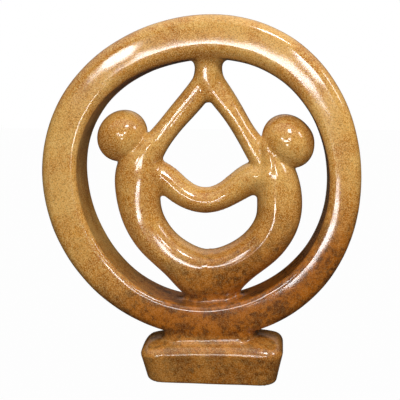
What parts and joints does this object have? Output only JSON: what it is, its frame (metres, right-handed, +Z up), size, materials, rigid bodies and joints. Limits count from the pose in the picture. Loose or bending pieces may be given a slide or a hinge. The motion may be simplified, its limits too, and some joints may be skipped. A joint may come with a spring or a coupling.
{
  "type": "couple statue",
  "caption": "Carved stone table ornament: two rounded figures with joined hands curl up inside a ring on a low plinth.",
  "frame": {"origin": "middle of the plinth's flat underside, at mid-depth of the ring", "axes": "+Z up, +X to the right along the plane of the ring as the front is seen, -Y out of the front face"},
  "size_m": [0.2169, 0.0526, 0.2501],
  "materials": {
    "stone": "carved soapstone, golden brown with a fine speckle and cloudy patches, polished and waxed to a soft gloss"
  },
  "bodies": {
    "root": {"couple_statue": "stone"}
  },
  "joints": []
}
